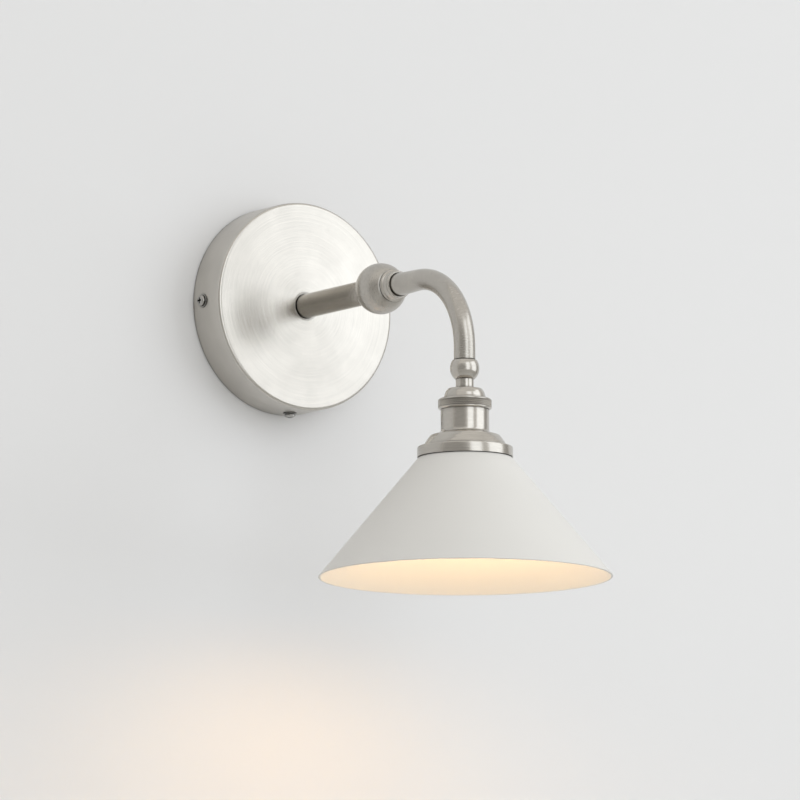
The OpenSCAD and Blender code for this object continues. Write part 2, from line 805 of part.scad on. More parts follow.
module knurled_ring() {
    r = knurl_d / 2;
    lip_r = cap_r + 0.2;
    bore_r = shell_r + fit;
    profile = [
        [bore_r, ring_low_z], [r - ring_chamfer, ring_low_z], [r, ring_low_z + ring_chamfer],
        [r, ring_low_z + knurl_margin], [r - knurl_depth, ring_low_z + knurl_margin + knurl_depth],
        [r - knurl_depth, ring_top_z - knurl_margin - knurl_depth], [r, ring_top_z - knurl_margin],
        [r, ring_top_z - ring_chamfer], [r - ring_chamfer, ring_top_z],
        [lip_r, ring_top_z], [lip_r, ring_top_z - ring_lip_t], [bore_r, ring_top_z - ring_lip_t]];
    color(nickel) on_drop() rotate_extrude() polygon(profile);
}

module holder_shell() {
    profile = concat(
        [[skirt_in_r, skirt_low_z], [skirt_r, skirt_low_z], [skirt_r, shell_foot_z],
            [shell_foot_r, shell_foot_z], [shell_foot_r, shell_foot_z + foot_edge]],
        [for (i = [0:6]) [shell_foot_r - shell_foot_w * sin(15 * i),
            shell_foot_z + foot_edge + shell_foot_w * (1 - cos(15 * i))]],
        [[shell_r, shell_top_z], [rim_seat_r, shell_top_z], [rim_seat_r, shell_top_z - rim_seat_h],
            [skirt_in_r, shell_top_z - rim_seat_h]]);
    color(nickel) on_drop() rotate_extrude() polygon(profile);
}

module gallery() {
    top_r = gallery_top_d / 2;
    tier_r = gallery_tier_d / 2;
    flange_r = gallery_flange_d / 2;
    in_z = shell_foot_z - gallery_t;
    shoulder_z = tier_low_z + flange_edge;
    outer = arc_between([top_r, shell_foot_z], [tier_r, shoulder_z], tier_sag);
    inner = arc_between([top_r - gallery_t, in_z], [tier_r - gallery_t, shoulder_z], tier_sag);
    profile = concat(
        [[gallery_hole_r, shell_foot_z]],
        outer,
        [[tier_r, tier_low_z]],
        corner([flange_r - flange_edge, tier_low_z - flange_edge], flange_edge, 90, 0),
        [[flange_r, flange_low_z], [flange_r - gallery_t, flange_low_z],
            [flange_r - gallery_t, tier_low_z - gallery_t], [tier_r - gallery_t, tier_low_z - gallery_t]],
        [for (i = [len(inner) - 1:-1:0]) inner[i]],
        [[gallery_hole_r, in_z]]);
    color(nickel) on_drop() rotate_extrude() polygon(profile);
}

module gallery_ring() {
    color(steel) on_drop(shell_foot_z - gallery_t - nut_ring_t) tube(gallery_top_d / 2 - 2.5, gallery_hole_r, nut_ring_t);
}

module shade() {
    profile = concat(
        [[shade_hole_r, shade_plate_z], [shade_hole_r, shade_top_z]],
        [[shade_top_r - shade_corner, shade_top_z]],
        [[shade_top_r + 0.25 * shade_corner * tan(shade_slope), shade_top_z - 0.25 * shade_corner]],
        [[shade_r, shade_rim_z], [shade_r - shade_side, shade_rim_z]],
        [[shade_top_r + shade_t * tan(shade_slope) - shade_side, shade_plate_z]]);
    color([0.91, 0.90, 0.87]) on_drop() rotate_extrude() polygon(profile);
}

module shade_ring() {
    color([0.93, 0.93, 0.91]) on_drop(shade_ring_z) difference() {
        union() {
            translate([0, 0, -ring_flange_t]) tube(ring_flange_r, gallery_hole_r, ring_flange_t);
            translate([0, 0, -ring_h]) tube(ring_hub_r, gallery_hole_r, ring_h);
        }
        for (i = [0:ring_notches - 1]) rotate([0, 0, i * 360 / ring_notches])
            translate([ring_flange_r, 0, -ring_flange_t - cut]) cylinder(d = ring_notch_d, h = ring_flange_t + 2 * cut);
    }
}

module socket_insulator() {
    cup_r = insulator_r - insulator_wall;
    mouth = 1.4;
    profile = [
        [0, base_low_z], [insulator_in_r, base_low_z], [insulator_in_r, insulator_low_z + mouth],
        [insulator_in_r + mouth, insulator_low_z], [insulator_r, insulator_low_z],
        [insulator_r, shell_top_z - rim_seat_h], [rim_seat_r - insulator_gap, shell_top_z - rim_seat_h],
        [rim_seat_r - insulator_gap, shell_top_z], [cup_r, shell_top_z], [cup_r, base_top_z], [0, base_top_z]];
    color("whitesmoke") on_drop() difference() {
        rotate_extrude() polygon(profile);
        for (s = [-1, 1]) translate([s * post_x, 0, base_low_z - cut])
            cylinder(r = post_r + fit, h = base_t + 2 * cut);
    }
}

// A hollow post through the insulator's base that a contact screw goes into
module contact_post(x) {
    translate([x, 0, base_low_z - contact_strip_t / 2])
        tube(post_r, post_bore_r, base_t + post_proud + contact_strip_t / 2);
}

module screw_shell() {
    out_r = screw_shell_r + shell_wall;
    tab_w = 3;
    color(brass) on_drop() union() {
        translate([0, 0, screw_shell_low_z])
            tube(out_r, screw_shell_r, screw_shell_top_z - screw_shell_low_z);
        intersection() {
            translate([0, 0, screw_shell_top_z]) tube(out_r, screw_shell_r, base_low_z - screw_shell_top_z);
            translate([0, -tab_w / 2, screw_shell_top_z]) cube([out_r, tab_w, base_low_z - screw_shell_top_z]);
        }
        difference() {
            translate([post_x - post_r, -tab_w / 2, base_low_z - contact_strip_t])
                cube([screw_shell_r - post_x + post_r + shell_wall / 2, tab_w, contact_strip_t]);
            translate([post_x, 0, base_low_z - cut]) cylinder(r = post_bore_r, h = 2 * cut);
        }
        contact_post(post_x);
    }
}

module centre_contact() {
    strip_w = 4;
    strip_trim = 0.4;
    strip_past = 2;
    color(brass) on_drop() union() {
        difference() {
            translate([-post_x - post_r + strip_trim, -strip_w / 2, base_low_z - contact_strip_t])
                cube([post_x + post_r - strip_trim + strip_past, strip_w, contact_strip_t]);
            translate([-post_x, 0, base_low_z - cut]) cylinder(r = post_bore_r, h = 2 * cut);
        }
        translate([0, 0, contact_tip_z]) cylinder(r = contact_tip_r, h = contact_tip_t);
        contact_post(-post_x);
    }
}

module contact_screws() {
    seat_z = base_top_z + post_proud;
    shank = 3;
    color(steel) on_drop(seat_z) for (s = [-1, 1]) translate([s * post_x, 0, 0]) difference() {
        union() {
            translate([0, 0, -shank]) cylinder(r = contact_screw_r, h = shank);
            cylinder(r = contact_head_r, h = contact_head_h);
        }
        translate([0, 0, contact_head_h]) screw_slot(2 * contact_head_r, grub_slot_w, small_slot_depth);
    }
}

// A core from the flex's lower end to a contact screw, on the side given by s
module core_head(s) {
    end_x = post_x - contact_head_r - core_d / 2 - core_gap;
    translate([0, -reach, 0]) wire([
        [s * core_x, 0, flex_end_z],
        [s * core_x, 0, flex_end_z - core_straight],
        [s * end_x, 0, base_top_z + post_proud + contact_head_h + core_above],
        [s * end_x, 0, base_top_z + core_gap]], core_d);
}

module live_core_head() {
    color("saddlebrown") core_head(-1);
}

module neutral_core_head() {
    color("royalblue") core_head(1);
}

// Half outline of the glass, drawn t inside its outer face, from the hole in its neck to its end
function glass_outline(t) = concat(
    [[glass_hole_r, bulb_cap_low_z - t], [bulb_neck_d / 2 - t, bulb_cap_low_z - t]],
    arc_between([bulb_neck_d / 2 - t, bulb_cap_low_z - neck_straight],
        [(globe_r - t) * sin(neck_angle), globe_z + (globe_r - t) * cos(neck_angle)], -neck_sag),
    [for (i = [1:24]) let (a = neck_angle + (180 - neck_angle) * i / 24)
        [(globe_r - t) * sin(a), globe_z + (globe_r - t) * cos(a)]]);

module bulb_glass() {
    inner = glass_outline(glass_t);
    profile = concat(glass_outline(0), [for (i = [len(inner) - 1:-1:0]) inner[i]]);
    color([1, 0.97, 0.9]) on_drop() rotate_extrude() polygon(profile);
}

module bulb_cap() {
    color(steel) on_drop(bulb_cap_low_z) tube(bulb_cap_r, bulb_cap_r - bulb_cap_wall, bulb_cap_h);
}

module bulb_insulator() {
    plug_r = bulb_cap_r - bulb_cap_wall - fit;
    plug_low_z = bulb_cap_top_z - 2.5;
    profile = [
        [0, plug_low_z], [plug_r, plug_low_z], [plug_r, bulb_cap_top_z],
        [pip_r + 0.5, bulb_cap_top_z + glass_plug_h], [0, bulb_cap_top_z + glass_plug_h]];
    color("dimgray") on_drop() rotate_extrude() polygon(profile);
}

module bulb_contact() {
    color(brass) on_drop(bulb_top_z - pip_h) cylinder(r = pip_r, h = pip_h);
}

wall_bracket();
cable_grommet();
backplate_cover();
cover_screws();
cover_washers();
terminal_block();
terminal_sleeves();
terminal_screws();
block_screws();
earth_screw();
earth_tag();
earth_lead();
arm_tube();
arm_insert();
arm_nipple();
star_washer();
arm_nut();
arm_flex();
live_core_base();
neutral_core_base();
pivot_ball();
stop_pin();
swivel_stud();
friction_washer();
swivel_collar();
elbow_tube();
elbow_flex();
neck_ball();
neck_nipple();
holder_cap();
knurled_ring();
holder_shell();
gallery();
gallery_ring();
shade();
shade_ring();
socket_insulator();
screw_shell();
centre_contact();
contact_screws();
live_core_head();
neutral_core_head();
bulb_glass();
bulb_cap();
bulb_insulator();
bulb_contact();
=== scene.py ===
"""The wall lamp's looks: a finish for every CAD node, the finely turned pieces, and the stage,
lamps and camera."""

import math

import bmesh
import bpy
from mathutils import Matrix, Vector


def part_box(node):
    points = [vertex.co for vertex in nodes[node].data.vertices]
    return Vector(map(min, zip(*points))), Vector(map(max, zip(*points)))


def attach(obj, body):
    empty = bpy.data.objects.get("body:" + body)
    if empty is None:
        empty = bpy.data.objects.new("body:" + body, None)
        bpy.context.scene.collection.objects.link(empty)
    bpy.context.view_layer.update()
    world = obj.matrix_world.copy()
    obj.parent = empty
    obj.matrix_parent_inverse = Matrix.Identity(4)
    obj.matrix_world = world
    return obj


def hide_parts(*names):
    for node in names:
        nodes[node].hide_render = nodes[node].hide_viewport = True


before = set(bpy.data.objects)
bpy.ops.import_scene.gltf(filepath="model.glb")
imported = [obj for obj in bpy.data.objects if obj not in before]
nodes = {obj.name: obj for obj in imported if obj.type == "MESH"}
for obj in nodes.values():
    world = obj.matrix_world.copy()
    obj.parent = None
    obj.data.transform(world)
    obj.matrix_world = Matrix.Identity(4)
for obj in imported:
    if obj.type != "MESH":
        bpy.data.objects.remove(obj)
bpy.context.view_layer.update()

MM = 0.001
MICRON = 1e-6

# Sizes that the pieces share, in mm: the reach is the distance of the shade's axis from the wall
shell_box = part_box("holder_shell")
REACH = -(shell_box[0].y + shell_box[1].y) / 2 / MM
BEND_R = 44.0
PLATE_R = 60.0

# Roundings of the turned edges, in mm
FINE = 0.05
CRISP = 0.1
BROKEN = 0.15
EASED = 0.2
SOFT = 0.3


def top_of(node):
    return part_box(node)[1].z / MM


def foot_of(node):
    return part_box(node)[0].z / MM


def near_wall(node):
    """A node's least distance from the wall."""
    return -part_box(node)[1].y / MM


def far_from_wall(node):
    """A node's greatest distance from the wall."""
    return -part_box(node)[0].y / MM


def radius_of(node):
    low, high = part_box(node)
    return (high.x - low.x) / 2 / MM


# Material building

BEVEL_SAMPLES = 4
SEAM_SAMPLES = 6
# How far round a point the painted shade of a seam reaches, its tone there, and the openness
# between shut and open
SEAM_REACH = 2.2 * MM
SEAM_TONE = 0.08
SEAM_SHUT = 0.28
SEAM_OPEN = 0.92


class Finish:
    """A Principled material: add() makes a node, and wires or sets its inputs by name or number."""

    def __init__(self, name, colour, roughness, metallic=0.0, **sockets):
        self.material = bpy.data.materials.new(name)
        self.material.use_nodes = True
        self.tree = self.material.node_tree
        self.shader = self.tree.nodes["Principled BSDF"]
        self.put(self.shader, "Base Color", (*colour, 1.0))
        self.put(self.shader, "Roughness", roughness)
        self.put(self.shader, "Metallic", metallic)
        for key, value in sockets.items():
            self.put(self.shader, key.replace("_", " "), value)
        self.material.diffuse_color = (*colour, 1.0)

    def put(self, node, key, value):
        socket = node.inputs[key]
        if isinstance(value, bpy.types.NodeSocket):
            self.tree.links.new(value, socket)
        else:
            socket.default_value = value

    def add(self, kind, inputs=None, out=0, **settings):
        node = self.tree.nodes.new("ShaderNode" + kind)
        for key, value in settings.items():
            setattr(node, key, value)
        for key, value in (inputs or {}).items():
            self.put(node, key, value)
        return node.outputs[out]

    def math(self, operation, a, b=0.0):
        return self.add("Math", {0: a, 1: b}, operation=operation)

    def vector(self, operation, a, b=(0.0, 0.0, 0.0), out=0):
        return self.add("VectorMath", {0: a, 1: b}, out=out, operation=operation)

    def times(self, vector, amount):
        return self.add("VectorMath", {0: vector, "Scale": amount}, operation="SCALE")

    def combine(self, x, y, z):
        return self.add("CombineXYZ", {0: x, 1: y, 2: z})

    def split(self, vector):
        node = self.tree.nodes.new("ShaderNodeSeparateXYZ")
        self.put(node, 0, vector)
        return node.outputs

    def place(self):
        """The point on the piece, in the row frame's metres, which moves with the piece."""
        return self.add("TexCoord", out="Object")

    def noise(self, vector, scale, detail=2.0, rough=0.5, w=None):
        """Noise with scale cells to a unit of the vector, which is a metre on place()."""
        inputs = {"Vector": vector, "Scale": scale, "Detail": detail, "Roughness": rough}
        if w is None:
            return self.add("TexNoise", inputs)
        inputs["W"] = w
        return self.add("TexNoise", inputs, noise_dimensions="4D")

    def spread(self, value, low, high, start=0.0, end=1.0):
        """value from start to end mapped to low to high."""
        inputs = {"Value": value, "From Min": start, "From Max": end, "To Min": low, "To Max": high}
        return self.add("MapRange", inputs)

    def share(self, a, part, b):
        """That part of a, and the rest from b."""
        rest = self.math("MULTIPLY", b, 1.0 - part)
        return self.math("ADD", self.math("MULTIPLY", a, part), rest)

    def shade_of(self, factor, dark, light):
        """A colour between dark and light."""
        node = self.tree.nodes.new("ShaderNodeMix")
        node.data_type = "RGBA"
        for key, value in ((0, factor), (6, (*dark, 1.0)), (7, (*light, 1.0))):
            self.put(node, key, value)
        return node.outputs[2]

    def bump(self, height, depth, rounding=0.0):
        """Raises the surface by height times depth, in metres, with edges rounded as given."""
        inputs = {"Height": height, "Distance": depth, "Strength": 1.0}
        if rounding:
            inputs["Normal"] = self.add("Bevel", {"Radius": rounding}, samples=BEVEL_SAMPLES)
        self.put(self.shader, "Normal", self.add("Bump", inputs))


def tinted(colour, gain):
    return tuple(min(1.0, c * gain) for c in colour)


def painted_seam_shade(f, colour, reach=SEAM_REACH):
    """The colour, darker in seams and grooves: painted shade where they close in."""
    openness = f.add("AmbientOcclusion", {"Distance": reach}, out="AO", samples=SEAM_SAMPLES)
    return f.times(colour, f.spread(openness, SEAM_TONE, 1.0, SEAM_SHUT, SEAM_OPEN))


# Metals

METAL_EDGE = 0.2 * MM
# Width, length and relief of a brushed line; the length is the one at this radius from the axis
LINE = 0.4 * MM
RUN = 9 * MM
LINE_DEPTH = 9 * MICRON
RUN_R = 25 * MM
# The lines' part in tone and in wear, the rest being cloudy, and how far tone and wear go
LINES_IN_TONE = 0.6
LINES_IN_WEAR = 0.75
DARK_STREAK = 0.86
LIGHT_STREAK = 1.12
WEAR = 0.03
# Keeps the direction from a bend's centre defined along the straight ends
STRAIGHT = 10 * MICRON

# A direction and a point on it, in metres
ARM_AXIS = ((0.0, 1.0, 0.0), (0.0, 0.0, 0.0))
DROP_AXIS = ((0.0, 0.0, 1.0), (0.0, -REACH * MM, 0.0))
BEND_CENTRE = (0.0, -(REACH - BEND_R) * MM, -BEND_R * MM)


def spin_coordinates(f, axis, point):
    """Circumferential direction, distance along the axis, radius and direction round the axis."""
    flat = tuple(1.0 - abs(c) for c in axis)
    from_axis = f.vector("MULTIPLY", f.vector("SUBTRACT", f.place(), point), flat)
    tangent = f.vector("CROSS_PRODUCT", axis, from_axis)
    height = f.vector("DOT_PRODUCT", f.place(), axis, out="Value")
    radius = f.vector("LENGTH", from_axis, out="Value")
    return tangent, height, radius, f.vector("NORMALIZE", from_axis)


def bend_coordinates(f, centre, bend_r):
    """The same for a tube along the arm, round a quarter bend and down the shade's axis."""
    from_centre = f.vector("SUBTRACT", f.place(), centre)
    _, y, z = f.split(from_centre)
    before = f.math("MAXIMUM", y, 0.0)
    below = f.math("MINIMUM", z, 0.0)
    outward = f.math("SUBTRACT", f.math("MINIMUM", y, 0.0), STRAIGHT)
    upward = f.math("ADD", f.math("MAXIMUM", z, 0.0), STRAIGHT)
    spoke = f.vector("NORMALIZE", f.combine(0.0, outward, upward))
    path = f.vector("CROSS_PRODUCT", spoke, (1.0, 0.0, 0.0))
    on_line = f.vector("ADD", f.times(spoke, bend_r), f.combine(0.0, before, below))
    from_line = f.vector("SUBTRACT", from_centre, on_line)
    tangent = f.vector("CROSS_PRODUCT", path, from_line)
    spoke_parts = f.split(spoke)
    turn = f.math("ARCTAN2", spoke_parts[2], f.math("MULTIPLY", spoke_parts[1], -1.0))
    height = f.math("ADD", f.math("MULTIPLY", turn, bend_r), f.math("ADD", before, below))
    return tangent, height, bend_r, f.vector("NORMALIZE", from_line)


def brush(f, coordinates, colour, roughness, line, run, depth, rounding):
    """Fine lines round an axis: line is their width, run their length, depth their relief."""
    tangent, height, radius, round_axis = coordinates
    f.put(f.shader, "Tangent", f.add("VectorTransform", {0: tangent}, vector_type="VECTOR",
                                     convert_from="OBJECT", convert_to="WORLD"))
    x, y, z = f.split(f.times(round_axis, RUN_R / run))
    across = f.math("DIVIDE", height, line)
    outward = f.math("DIVIDE", radius, line)
    lines = f.noise(f.combine(across, outward, f.math("ADD", x, y)), 1.0, detail=3.0, rough=0.6,
                    w=f.math("SUBTRACT", z, y))
    cloud = f.noise(f.place(), 60.0, detail=3.0)
    patch = f.noise(f.place(), 14.0, detail=2.0)
    tone = f.spread(f.share(lines, LINES_IN_TONE, cloud), 0.0, 1.0, 0.3, 0.7)
    streaked = f.shade_of(tone, tinted(colour, DARK_STREAK), tinted(colour, LIGHT_STREAK))
    # Painted shade darkens the streaked colour in seams and grooves.
    f.put(f.shader, "Base Color", painted_seam_shade(f, streaked))
    worn = f.share(lines, LINES_IN_WEAR, patch)
    f.put(f.shader, "Roughness", f.spread(worn, roughness - WEAR, roughness + WEAR, 0.3, 0.7))
    f.bump(lines, depth, rounding)
    return f.material


def turned(name, colour, roughness, axis, grain=0.6, line=LINE, run=RUN, depth=LINE_DEPTH):
    """Metal brushed round an axis; grain is how far its highlights stretch across the lines."""
    f = Finish(name, colour, roughness, metallic=1.0, Anisotropic=grain)
    return brush(f, spin_coordinates(f, *axis), colour, roughness, line, run, depth, METAL_EDGE)


def bent(name, colour, roughness, grain):
    """Metal brushed round a bent tube."""
    f = Finish(name, colour, roughness, metallic=1.0, Anisotropic=grain)
    coordinates = bend_coordinates(f, BEND_CENTRE, BEND_R * MM)
    return brush(f, coordinates, colour, roughness, LINE, RUN, LINE_DEPTH, 0.0)


def plated(name, colour, roughness, dull, size, reach=SEAM_REACH):
    """Plated metal with no brushing: a mottle of that size, as dark as dull, small pits, and
    painted shade in seams as far as reach.
    """
    f = Finish(name, colour, roughness, metallic=1.0)
    mottle = f.noise(f.place(), 1 / size, detail=4.0, rough=0.6)
    pits = f.noise(f.place(), 3000.0, detail=2.0)
    mottled = f.shade_of(mottle, tinted(colour, dull), tinted(colour, 1.05))
    # Painted shade darkens the mottled colour in seams and grooves.
    f.put(f.shader, "Base Color", painted_seam_shade(f, mottled, reach))
    f.put(f.shader, "Roughness", f.spread(mottle, roughness + 0.08, roughness - 0.05, 0.3, 0.7))
    f.bump(pits, 10 * MICRON, 0.15 * MM)
    return f.material


# Plastics, rubber, paint and glass

def moulded(name, colour, roughness):
    """Moulded plastic or rubber: faint flow marks and a fine skin."""
    f = Finish(name, colour, roughness)
    flow = f.noise(f.place(), 90.0, detail=3.0)
    skin = f.noise(f.place(), 2200.0, detail=2.0)
    f.put(f.shader, "Base Color", f.shade_of(flow, tinted(colour, 0.93), tinted(colour, 1.04)))
    f.put(f.shader, "Roughness", f.spread(flow, roughness - 0.05, roughness + 0.06, 0.3, 0.7))
    f.bump(skin, 10 * MICRON, 0.2 * MM)
    return f.material


def painted(name, colour):
    """Matte powder coat: a fine orange peel and a trace of colour variation."""
    f = Finish(name, colour, 0.52, Specular_IOR_Level=0.35)
    peel = f.noise(f.place(), 900.0, detail=2.0, rough=0.4)
    dust = f.noise(f.place(), 2600.0, detail=1.0)
    cloud = f.noise(f.place(), 18.0, detail=3.0)
    f.put(f.shader, "Base Color", f.shade_of(cloud, tinted(colour, 0.975), tinted(colour, 1.015)))
    f.put(f.shader, "Roughness", f.spread(dust, 0.47, 0.60, 0.35, 0.65))
    f.bump(f.math("ADD", peel, f.math("MULTIPLY", dust, 0.3)), 12 * MICRON, 0.3 * MM)
    return f.material


def opal(name, colour, glow, strength):
    """Opal glass that glows, with a trace of cloudiness."""
    f = Finish(name, colour, 0.22, Emission_Strength=strength)
    cloud = f.noise(f.place(), 70.0, detail=2.0)
    f.put(f.shader, "Base Color", f.shade_of(cloud, tinted(colour, 0.97), colour))
    f.put(f.shader, "Emission Color", f.shade_of(cloud, tinted(glow, 0.96), glow))
    f.put(f.shader, "Roughness", f.spread(cloud, 0.18, 0.28, 0.3, 0.7))
    return f.material


NICKEL = (0.520, 0.493, 0.452)
STEEL = (0.58, 0.58, 0.58)
BRASS = (0.78, 0.56, 0.25)

# The plate and the knurled ring are lighter, the ball and the elbow darker copies of the same
# nickel: painted highlight and painted shade that set their tones.
plate_nickel = turned("plate_nickel", (0.595, 0.571, 0.530), 0.25, ARM_AXIS, grain=0.95,
                      line=0.3 * MM, run=20 * MM, depth=4 * MICRON)
arm_nickel = turned("arm_nickel", NICKEL, 0.24, ARM_AXIS, run=6 * MM)
ball_nickel = turned("ball_nickel", tinted(NICKEL, 0.92), 0.29, ARM_AXIS, grain=0.2, run=3 * MM)
drop_nickel = turned("drop_nickel", NICKEL, 0.16, DROP_AXIS, run=6 * MM)
neck_nickel = turned("neck_nickel", NICKEL, 0.19, DROP_AXIS, run=6 * MM)
elbow_nickel = bent("elbow_nickel", tinted(NICKEL, 0.93), 0.26, grain=0.5)
# The knurled ring's painted seam shade reaches only into its knurl's valleys.
knurl_nickel = plated("knurl_nickel", tinted(NICKEL, 1.05), 0.15, dull=0.85, size=2 * MM,
                      reach=0.5 * MM)
zinc = plated("zinc", STEEL, 0.34, dull=0.82, size=12 * MM)
screw_steel = plated("screw_steel", (0.46, 0.45, 0.43), 0.20, dull=0.85, size=3 * MM)
arm_brass = turned("arm_brass", BRASS, 0.28, ARM_AXIS, grain=0.4)
drop_brass = turned("drop_brass", BRASS, 0.26, DROP_AXIS, grain=0.4)
drop_steel = turned("drop_steel", STEEL, 0.28, DROP_AXIS, grain=0.4)
brass_parts = plated("brass_parts", BRASS, 0.27, dull=0.85, size=4 * MM)
rubber = moulded("grey_rubber", (0.050, 0.050, 0.053), 0.62)
ivory = moulded("ivory_plastic", (0.74, 0.70, 0.58), 0.42)
green = moulded("green_insulation", (0.10, 0.34, 0.04), 0.35)
brown = moulded("brown_insulation", (0.11, 0.035, 0.015), 0.35)
blue = moulded("blue_insulation", (0.018, 0.07, 0.32), 0.35)
sheath = moulded("grey_sheath", (0.26, 0.26, 0.26), 0.5)
porcelain = moulded("white_plastic", (0.80, 0.80, 0.77), 0.3)
dark = moulded("dark_plastic", (0.012, 0.012, 0.014), 0.25)
shade_paint = painted("shade_paint", (0.755, 0.740, 0.710))
opal_glass = opal("opal_glass", (0.93, 0.92, 0.90), glow=(1.0, 0.66, 0.31), strength=12.5)

FINISHES = {
    plate_nickel: ["backplate_cover"],
    elbow_nickel: ["elbow_tube"],
    drop_nickel: ["neck_nipple"],
    zinc: ["wall_bracket"],
    screw_steel: ["terminal_screws", "block_screws", "star_washer", "stop_pin", "friction_washer",
                  "contact_screws"],
    drop_steel: ["gallery_ring"],
    arm_brass: ["arm_insert", "arm_nipple", "arm_nut", "swivel_stud"],
    drop_brass: ["screw_shell"],
    brass_parts: ["terminal_sleeves", "earth_screw", "earth_tag", "centre_contact", "bulb_contact"],
    rubber: ["cable_grommet"],
    ivory: ["terminal_block"],
    green: ["earth_lead"],
    brown: ["live_core_base", "live_core_head"],
    blue: ["neutral_core_base", "neutral_core_head"],
    sheath: ["arm_flex", "elbow_flex"],
    porcelain: ["shade_ring", "socket_insulator"],
    dark: ["bulb_insulator"],
    opal_glass: ["bulb_glass"],
}


def dress(name, material):
    """Gives a CAD node its finish on every slot."""
    slots = nodes[name].data.materials
    if not slots:
        slots.append(material)
    for i in range(len(slots)):
        slots[i] = material


for material, names in FINISHES.items():
    for name in names:
        dress(name, material)


# Turned pieces: outlines are closed loops of (radius, height) or (radius, height, fillet) in mm

CORNER_STEPS = 4
# The most of a side that the fillet at one of its ends takes up
MOST_OF_SIDE = 0.45
# Edges with a sharper turn than this, in degrees, aren't shaded smooth
SHARP_ANGLE = 40
# Radii closer than this, in mm, count as the same
HAIR = 0.01


def filleted(outline):
    """The outline with each corner that states a fillet rounded by it."""
    loop = []
    for i, corner in enumerate(outline):
        here = Vector(corner[:2])
        radius = corner[2] if len(corner) > 2 else 0.0
        back = Vector(outline[i - 1][:2]) - here
        ahead = Vector(outline[(i + 1) % len(outline)][:2]) - here
        if not radius:
            loop.append(tuple(here))
            continue
        half = back.angle(ahead) / 2
        shorter = min(MOST_OF_SIDE * back.length, MOST_OF_SIDE * ahead.length)
        reach = min(radius / math.tan(half), shorter)
        start = here + back.normalized() * reach
        end = here + ahead.normalized() * reach
        for k in range(CORNER_STEPS + 1):
            s = k / CORNER_STEPS
            loop.append(tuple(start * (1 - s) ** 2 + here * (2 * s * (1 - s)) + end * s ** 2))
    return loop


def arc(centre, radius, start, end, steps):
    """Outline points round (0, centre), at angles in degrees from the axis's own direction."""
    points = []
    for k in range(steps + 1):
        a = math.radians(start + (end - start) * k / steps)
        points.append((radius * math.sin(a), centre + radius * math.cos(a)))
    return points


def rows(radius, low, high, step):
    """Outline points up a straight side, close enough for a relief."""
    count = max(1, round((high - low) / step))
    return [(radius, low + (high - low) * k / count) for k in range(count + 1)]


def on_arm(radius, height, turn):
    """An outline's point round the arm's axis; height is its distance from the wall."""
    return (radius * math.cos(turn), -height, radius * math.sin(turn))


def on_drop(radius, height, turn):
    """An outline's point round the shade's axis."""
    return (radius * math.cos(turn), -REACH + radius * math.sin(turn), height)


def piece(name, meshes, body, node, material):
    """An object of one or more (points, faces) in mm that stands for a CAD node."""
    points, faces = [], []
    for part_points, part_faces in meshes:
        faces += [tuple(len(points) + i for i in face) for face in part_faces]
        points += part_points
    mesh = bpy.data.meshes.new(name)
    mesh.from_pydata([Vector(p) * MM for p in points], [], faces)
    work = bmesh.new()
    work.from_mesh(mesh)
    bmesh.ops.recalc_face_normals(work, faces=work.faces)
    work.to_mesh(mesh)
    work.free()
    mesh.polygons.foreach_set("use_smooth", [True] * len(mesh.polygons))
    mesh.set_sharp_from_angle(angle=math.radians(SHARP_ANGLE))
    mesh.materials.append(material)
    obj = bpy.data.objects.new(name, mesh)
    bpy.context.scene.collection.objects.link(obj)
    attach(obj, body)
    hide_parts(node)


def revolve(outline, place, segments=160, relief=None):
    """Points and faces of a turned ring; relief gives a point's radius and height from its turn."""
    loop = filleted(outline)
    points, faces = [], []
    for k in range(segments):
        turn = 2 * math.pi * k / segments
        for radius, height in loop:
            if relief:
                radius, height = relief(radius, height, turn)
            points.append(place(radius, height, turn))
    for k in range(segments):
        this, after = k * len(loop), (k + 1) % segments * len(loop)
        for i in range(len(loop)):
            j = (i + 1) % len(loop)
            faces.append((this + i, this + j, after + j, after + i))
    return points, faces


def turned_piece(name, outline, place, body, node, material, relief=None, segments=160):
    """A turned ring that stands for a CAD node."""
    piece(name, [revolve(outline, place, segments, relief)], body, node, material)


THREAD_R = 5.05


def make_backplate_cover():
    """The spun cover: a flat face with a rolled edge, and the collar lip at the foot of the arm."""
    face, sheet, rolled, inner_roll = 26.0, 1.2, 2.1, 0.9
    mouth, lip = 7.1, far_from_wall("backplate_cover")
    collar_foot, collar_top = mouth + 1.0, mouth + 0.9
    outline = [
        (PLATE_R - sheet, 0.0), (PLATE_R, 0.0, BROKEN), (PLATE_R, face, rolled),
        (collar_foot, face, BROKEN), (collar_top, lip, BROKEN), (mouth, lip, CRISP),
        (mouth, face - sheet), (PLATE_R - sheet, face - sheet, inner_roll)]
    turned_piece("backplate_cover_spun", outline, on_arm, "root", "backplate_cover", plate_nickel,
                 segments=256)


def make_arm():
    """The straight arm, undercut above the backplate's lip."""
    low, high = near_wall("arm_tube"), far_from_wall("arm_tube")
    bore, undercut, radius = 6.0, 6.5, 7.0
    outline = [
        (bore, low), (undercut, low), (undercut, low + 0.95), (radius, low + 1.15, BROKEN),
        (radius, high, CRISP), (bore, high)]
    turned_piece("arm_tube_turned", outline, on_arm, "root", "arm_tube", arm_nickel)


